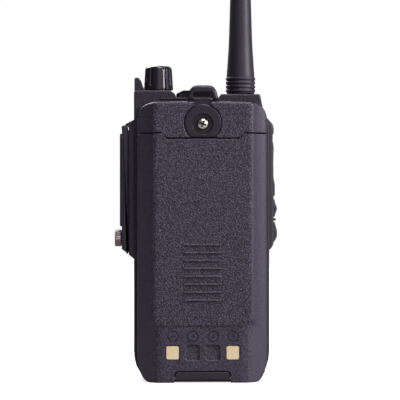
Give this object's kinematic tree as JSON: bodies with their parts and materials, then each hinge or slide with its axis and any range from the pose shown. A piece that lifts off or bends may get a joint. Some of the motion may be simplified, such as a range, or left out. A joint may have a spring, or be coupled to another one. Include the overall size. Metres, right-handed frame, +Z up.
{
  "type": "handheld aviation radio",
  "caption": "Handheld two-way aviation radio: cased body with clip-on battery pack, whip antenna, volume knob, talk key, side port cover, strap loop, display and keypad.",
  "frame": {"origin": "centre of the flat base, between the case sides and 0 mm up", "axes": "+Z up along the body and the antenna, -Y out of the display, +Y out of the battery's back, +X towards the accessory port"},
  "size_m": [0.0734, 0.0404, 0.28],
  "materials": {
    "case_plastic": "fine satin moulded polycarbonate, near black",
    "pack_plastic": "dark slate plastic with a fine leather-like moulded grain",
    "inner_plastic": "plain moulded plastic",
    "latch_plastic": "smooth moulded plastic",
    "port_plastic": "smooth semi-gloss black",
    "knob_plastic": "glossy black with ribs",
    "loop_plastic": "smooth dark plastic",
    "torch_plastic": "smoked glossy lens",
    "side_rubber": "soft-touch rubber",
    "gasket_rubber": "silicone",
    "key_rubber": "matt silicone keys with pale printed figures",
    "antenna_rubber": "smooth moulded rubber",
    "gunmetal": "dark knurled metal",
    "chrome_screw": "polished",
    "bright_steel": "bright machined",
    "tinned_steel": "tinned sheet",
    "cast_aluminium": "die cast, blasted",
    "gold_plate": "satin gold plate",
    "copper_wire": "bare copper",
    "board_green": "green solder mask",
    "cell_wrap": "blue wrap on a metal-cased cell",
    "speaker_frame": "black frame and paper cone",
    "display_glass": "grey-green display",
    "window_clear": "clear hard-coated window",
    "led_clear": "clear lamp body"
  },
  "bodies": {
    "radio": {"front_case": "case_plastic", "rear_cover": "pack_plastic", "chassis_frame": "cast_aluminium", "case_gasket": "gasket_rubber", "battery_terminal_block": "gold_plate", "main_board": "board_green", "rf_shield": "tinned_steel", "display_module": "display_glass", "display_lens": "window_clear", "keypad_mat": "key_rubber", "speaker": "speaker_frame", "speaker_membrane": "gasket_rubber", "microphone": "tinned_steel", "torch_lens": "torch_plastic", "torch_led": "led_clear", "strap_loop": "loop_plastic", "strap_loop_screw": "chrome_screw", "volume_control": "tinned_steel", "antenna_socket": "gold_plate", "side_key_rubber": "side_rubber", "accessory_socket": "port_plastic", "chassis_screw_1": "bright_steel", "chassis_screw_2": "bright_steel", "chassis_screw_3": "bright_steel", "chassis_screw_4": "bright_steel"},
    "battery": {"battery_shell": "pack_plastic", "battery_inner_cover": "inner_plastic", "battery_cell_1": "cell_wrap", "battery_cell_2": "cell_wrap", "protection_board": "board_green", "charge_contact_minus": "gold_plate", "charge_contact_plus": "gold_plate", "latch_pin": "bright_steel", "latch_spring": "bright_steel"},
    "latch_flap": {"battery_latch": "latch_plastic"},
    "volume": {"volume_knob": "knob_plastic", "volume_shaft": "bright_steel"},
    "antenna": {"antenna_connector": "bright_steel", "antenna_sheath": "antenna_rubber", "antenna_element": "copper_wire"},
    "talk_key": {"ptt_button": "side_rubber"},
    "upper_side_key": {"side_key_upper": "side_rubber"},
    "middle_side_key": {"side_key_middle": "side_rubber"},
    "lower_side_key": {"side_key_lower": "side_rubber"},
    "port_cover": {"accessory_cover": "port_plastic"},
    "cover_screw": {"thumbscrew": "gunmetal"},
    "press_key_01": {"key_01": "key_rubber"},
    "press_key_02": {"key_02": "key_rubber"},
    "press_key_03": {"key_03": "key_rubber"},
    "press_key_04": {"key_04": "key_rubber"},
    "press_key_05": {"key_05": "key_rubber"},
    "press_key_06": {"key_06": "key_rubber"},
    "press_key_07": {"key_07": "key_rubber"},
    "press_key_08": {"key_08": "key_rubber"},
    "press_key_09": {"key_09": "key_rubber"},
    "press_key_10": {"key_10": "key_rubber"},
    "press_key_11": {"key_11": "key_rubber"},
    "press_key_12": {"key_12": "key_rubber"},
    "press_function_key_left": {"function_key_left": "key_rubber"},
    "press_function_key_right": {"function_key_right": "key_rubber"}
  },
  "joints": [
    {"name": "battery_release", "type": "slide", "parent": "radio", "child": "battery", "axis": [0, 1, 0], "range_m": [0, 0.035]},
    {"name": "battery_latch_flap", "type": "hinge", "parent": "battery", "child": "latch_flap", "pos_m": [0, 0.0174, 0.0019], "axis": [-1, 0, 0], "range_deg": [0, 60], "stiffness_Nm_per_rad": 0.01},
    {"name": "volume_turn", "type": "hinge", "parent": "radio", "child": "volume", "pos_m": [0.0193, -0.007, 0.13], "axis": [0, 0, -1], "range_deg": [0, 300]},
    {"name": "antenna_unscrew", "type": "hinge", "parent": "radio", "child": "antenna", "pos_m": [-0.0178, -0.007, 0.13], "axis": [0, 0, 1], "continuous": true},
    {"name": "talk_key_press", "type": "slide", "parent": "radio", "child": "talk_key", "axis": [1, 0, 0], "range_m": [0, 0.001], "stiffness_N_per_m": 800},
    {"name": "upper_side_key_press", "type": "slide", "parent": "radio", "child": "upper_side_key", "axis": [1, 0, 0], "range_m": [0, 0.0008], "stiffness_N_per_m": 700},
    {"name": "middle_side_key_press", "type": "slide", "parent": "radio", "child": "middle_side_key", "axis": [1, 0, 0], "range_m": [0, 0.0008], "stiffness_N_per_m": 700},
    {"name": "lower_side_key_press", "type": "slide", "parent": "radio", "child": "lower_side_key", "axis": [1, 0, 0], "range_m": [0, 0.0008], "stiffness_N_per_m": 700},
    {"name": "port_cover_swing", "type": "hinge", "parent": "radio", "child": "port_cover", "pos_m": [0.0347, -0.009, 0.1125], "axis": [0, -1, 0], "range_deg": [0, 70]},
    {"name": "cover_screw_turn", "type": "hinge", "parent": "port_cover", "child": "cover_screw", "pos_m": [0.036, -0.009, 0.0633], "axis": [1, 0, 0], "continuous": true},
    {"name": "key_01_press", "type": "slide", "parent": "radio", "child": "press_key_01", "axis": [0, 1, 0], "range_m": [0, 0.0004], "stiffness_N_per_m": 500},
    {"name": "key_02_press", "type": "slide", "parent": "radio", "child": "press_key_02", "axis": [0, 1, 0], "range_m": [0, 0.0004], "stiffness_N_per_m": 500},
    {"name": "key_03_press", "type": "slide", "parent": "radio", "child": "press_key_03", "axis": [0, 1, 0], "range_m": [0, 0.0004], "stiffness_N_per_m": 500},
    {"name": "key_04_press", "type": "slide", "parent": "radio", "child": "press_key_04", "axis": [0, 1, 0], "range_m": [0, 0.0004], "stiffness_N_per_m": 500},
    {"name": "key_05_press", "type": "slide", "parent": "radio", "child": "press_key_05", "axis": [0, 1, 0], "range_m": [0, 0.0004], "stiffness_N_per_m": 500},
    {"name": "key_06_press", "type": "slide", "parent": "radio", "child": "press_key_06", "axis": [0, 1, 0], "range_m": [0, 0.0004], "stiffness_N_per_m": 500},
    {"name": "key_07_press", "type": "slide", "parent": "radio", "child": "press_key_07", "axis": [0, 1, 0], "range_m": [0, 0.0004], "stiffness_N_per_m": 500},
    {"name": "key_08_press", "type": "slide", "parent": "radio", "child": "press_key_08", "axis": [0, 1, 0], "range_m": [0, 0.0004], "stiffness_N_per_m": 500},
    {"name": "key_09_press", "type": "slide", "parent": "radio", "child": "press_key_09", "axis": [0, 1, 0], "range_m": [0, 0.0004], "stiffness_N_per_m": 500},
    {"name": "key_10_press", "type": "slide", "parent": "radio", "child": "press_key_10", "axis": [0, 1, 0], "range_m": [0, 0.0004], "stiffness_N_per_m": 500},
    {"name": "key_11_press", "type": "slide", "parent": "radio", "child": "press_key_11", "axis": [0, 1, 0], "range_m": [0, 0.0004], "stiffness_N_per_m": 500},
    {"name": "key_12_press", "type": "slide", "parent": "radio", "child": "press_key_12", "axis": [0, 1, 0], "range_m": [0, 0.0004], "stiffness_N_per_m": 500},
    {"name": "function_key_left_press", "type": "slide", "parent": "radio", "child": "press_function_key_left", "axis": [0, 1, 0], "range_m": [0, 0.0004], "stiffness_N_per_m": 500},
    {"name": "function_key_right_press", "type": "slide", "parent": "radio", "child": "press_function_key_right", "axis": [0, 1, 0], "range_m": [0, 0.0004], "stiffness_N_per_m": 500}
  ]
}
